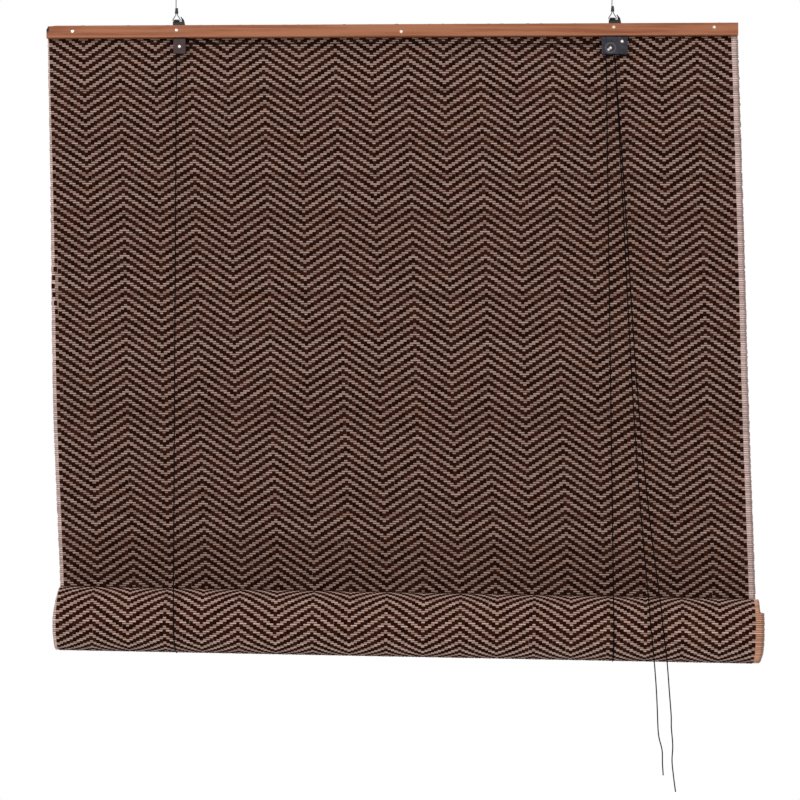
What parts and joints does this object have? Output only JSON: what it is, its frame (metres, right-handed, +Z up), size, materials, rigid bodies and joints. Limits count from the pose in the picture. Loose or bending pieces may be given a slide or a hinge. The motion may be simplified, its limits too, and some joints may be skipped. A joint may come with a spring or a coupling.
{
  "type": "roll-up blind",
  "caption": "Woven reed roll-up window blind with a chevron weave, two wooden headrail battens, a cord pulley, a cord lock and two hangers, shown partly raised.",
  "frame": {"origin": "middle of the back face of the headrail, which lies against a wall or window frame", "axes": "+X along the headrail to the right as seen from the room, +Y into the wall, +Z up"},
  "size_m": [0.9266, 0.098, 1.034],
  "materials": {
    "stained_wood": "stained and satin varnished",
    "reed": "split reed, matt",
    "dark_yarn": "dark brown yarn",
    "black_cord": "braided black cord",
    "bracket_metal": "dark brown coat",
    "lock_metal": "dark blue grey coat",
    "black_metal": "black coat",
    "pawl_metal": "plain steel",
    "wire_steel": "drawn steel wire",
    "bright_steel": "bright zinc",
    "wheel_plastic": "black nylon"
  },
  "bodies": {
    "headrail": {"front_batten": "stained_wood", "back_batten": "stained_wood", "batten_screws": "bright_steel", "hanging_mat": "reed", "hanging_yarn": "dark_yarn", "pulley_bracket": "bracket_metal", "pulley_pin": "bright_steel", "lock_housing": "lock_metal", "lock_wheel_pin": "bright_steel", "pawl_pin": "bright_steel", "bracket_screws": "bright_steel", "hanger_strap_left": "black_metal", "hanger_strap_right": "black_metal", "cross_cord": "black_cord", "lock_cord": "black_cord", "front_strand_left": "black_cord", "front_strand_right": "black_cord", "back_strand_left": "black_cord", "back_strand_right": "black_cord", "cord_knots": "black_cord", "pull_cord_1_upper": "black_cord", "pull_cord_2_upper": "black_cord"},
    "roll": {"rolled_mat": "reed", "rolled_yarn": "dark_yarn", "bottom_lath": "stained_wood", "sling_cord_left": "black_cord", "sling_cord_right": "black_cord", "pull_cord_1_lower": "black_cord", "pull_cord_2_lower": "black_cord"},
    "pulley": {"pulley_wheel": "wheel_plastic"},
    "lock_pulley": {"lock_wheel": "wheel_plastic"},
    "pawl": {"lock_pawl": "pawl_metal"},
    "left_hanger": {"hanger_wire_left": "wire_steel", "hanger_sleeve_left": "black_metal"},
    "right_hanger": {"hanger_wire_right": "wire_steel", "hanger_sleeve_right": "black_metal"}
  },
  "joints": [
    {"name": "roll_lift", "type": "slide", "parent": "headrail", "child": "roll", "axis": [0, 0, 1], "range_m": [0, 0.62], "deforming": ["hanging_mat", "hanging_yarn", "front_strand_left", "front_strand_right", "back_strand_left", "back_strand_right", "pull_cord_1_upper", "pull_cord_2_upper"]},
    {"name": "pulley_spin", "type": "hinge", "parent": "headrail", "child": "pulley", "pos_m": [-0.276, -0.02125, -0.02], "axis": [0, 1, 0], "continuous": true},
    {"name": "lock_pulley_spin", "type": "hinge", "parent": "headrail", "child": "lock_pulley", "pos_m": [0.2847, -0.0193, -0.0242], "axis": [0, 1, 0], "continuous": true},
    {"name": "pawl_swing", "type": "hinge", "parent": "headrail", "child": "pawl", "pos_m": [0.2997, -0.0193, -0.0158], "axis": [0, 1, 0], "range_deg": [-35, 0]},
    {"name": "left_hanger_swing", "type": "hinge", "parent": "headrail", "child": "left_hanger", "pos_m": [-0.28086, -0.0134, 0.015], "axis": [1, 0, 0], "range_deg": [-90, 90]},
    {"name": "right_hanger_swing", "type": "hinge", "parent": "headrail", "child": "right_hanger", "pos_m": [0.28794, -0.0134, 0.015], "axis": [1, 0, 0], "range_deg": [-90, 90]}
  ],
  "couplings": [
    {"joint": "pulley_spin", "follows": "roll_lift", "rad_per_m": 476.19},
    {"joint": "lock_pulley_spin", "follows": "roll_lift", "rad_per_m": 363.64}
  ]
}
